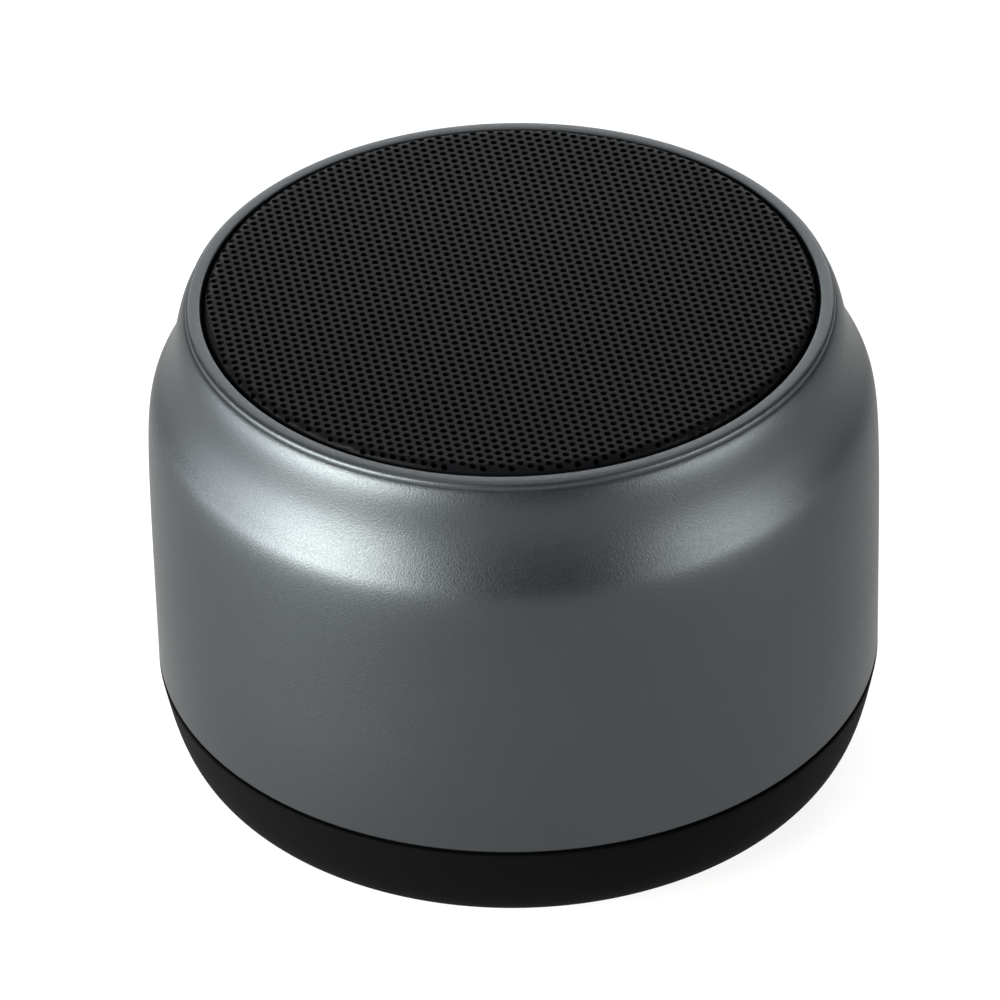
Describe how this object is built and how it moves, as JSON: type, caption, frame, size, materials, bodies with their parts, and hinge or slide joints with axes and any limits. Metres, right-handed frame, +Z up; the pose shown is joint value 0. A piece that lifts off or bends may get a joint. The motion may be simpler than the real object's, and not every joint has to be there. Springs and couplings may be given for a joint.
{
  "type": "portable speaker",
  "caption": "Small round portable speaker with a grey metal shell, S-curved shoulder, black perforated top grille and rounded black base.",
  "frame": {"origin": "middle of the surface that the speaker stands on, under its foot", "axes": "+Z up along the speaker's axis, +Y towards the back, where the charging socket and the power button are, +X to the right seen from the front"},
  "size_m": [0.059, 0.059, 0.0428],
  "materials": {
    "shell_metal": "blasted and anodised gun-metal grey, satin",
    "grille_steel": "satin black paint on perforated steel",
    "dust_cloth": "matt black cloth",
    "bracket_plastic": "matt dark grey",
    "base_plastic": "fine matt texture, near black",
    "button_plastic": "satin black",
    "seal_rubber": "matt black",
    "foot_rubber": "matt black silicone",
    "basket_steel": "black",
    "cone_paper": "black pressed pulp",
    "amber_film": "amber film",
    "copper_wire": "lacquered copper wire",
    "spider_cloth": "resin-treated weave",
    "plated_steel": "zinc or nickel plated",
    "ferrite": "dark grey ferrite",
    "red_insulation": "red",
    "black_insulation": "black",
    "board_laminate": "green solder mask on glass laminate",
    "chip_plastic": "black moulding",
    "chip_ceramic": "white",
    "silver_foil": "foil",
    "connector_plastic": "ivory moulding",
    "led_lens": "tinted lens",
    "clear_plastic": "clear"
  },
  "bodies": {
    "housing": {"outer_shell": "shell_metal", "grille": "grille_steel", "dust_cloth": "dust_cloth", "driver_bracket": "bracket_plastic", "driver_gasket": "seal_rubber", "driver_basket": "basket_steel", "surround": "seal_rubber", "spider": "spider_cloth", "top_plate": "plated_steel", "magnet": "ferrite", "yoke": "plated_steel", "terminal_strip": "amber_film", "speaker_lead_positive": "red_insulation", "speaker_lead_negative": "black_insulation", "driver_screw_1": "plated_steel", "driver_screw_2": "plated_steel", "driver_screw_3": "plated_steel", "driver_screw_4": "plated_steel", "base_tray": "base_plastic", "shell_seal": "seal_rubber", "foot_pad": "foot_rubber", "base_screw_1": "plated_steel", "base_screw_2": "plated_steel", "base_screw_3": "plated_steel", "base_screw_4": "plated_steel", "main_board": "board_laminate", "board_screw_1": "plated_steel", "board_screw_2": "plated_steel", "board_screw_3": "plated_steel", "soc_chip": "chip_plastic", "amp_chip": "chip_plastic", "charge_chip": "chip_plastic", "inductor": "ferrite", "crystal": "plated_steel", "antenna": "chip_ceramic", "capacitor_1": "silver_foil", "capacitor_2": "silver_foil", "usb_shell": "plated_steel", "usb_tongue": "chip_plastic", "tact_switch": "chip_plastic", "led": "led_lens", "light_pipe": "clear_plastic", "microphone": "plated_steel", "battery_cell": "silver_foil", "battery_tape": "dust_cloth", "battery_socket": "connector_plastic", "battery_plug": "connector_plastic", "battery_lead_positive": "red_insulation", "battery_lead_negative": "black_insulation", "speaker_socket": "connector_plastic", "speaker_plug": "connector_plastic"},
    "diaphragm": {"cone": "cone_paper", "dust_cap": "cone_paper", "coil_former": "amber_film", "voice_coil": "copper_wire"},
    "power_button": {"power_button": "button_plastic"},
    "switch_plunger": {"switch_plunger": "connector_plastic"}
  },
  "joints": [
    {"name": "cone_travel", "type": "slide", "parent": "housing", "child": "diaphragm", "axis": [0, 0, 1], "range_m": [-0.001, 0.001], "stiffness_N_per_m": 1400, "deforming": ["surround", "spider"]},
    {"name": "button_press", "type": "slide", "parent": "housing", "child": "power_button", "axis": [-0.3746, -0.9272, 0], "range_m": [0, 0.0003], "stiffness_N_per_m": 5000},
    {"name": "plunger_press", "type": "slide", "parent": "housing", "child": "switch_plunger", "axis": [-0.3746, -0.9272, 0], "range_m": [0, 0.0003]}
  ],
  "couplings": [
    {"joint": "plunger_press", "follows": "button_press", "ratio": 1}
  ]
}
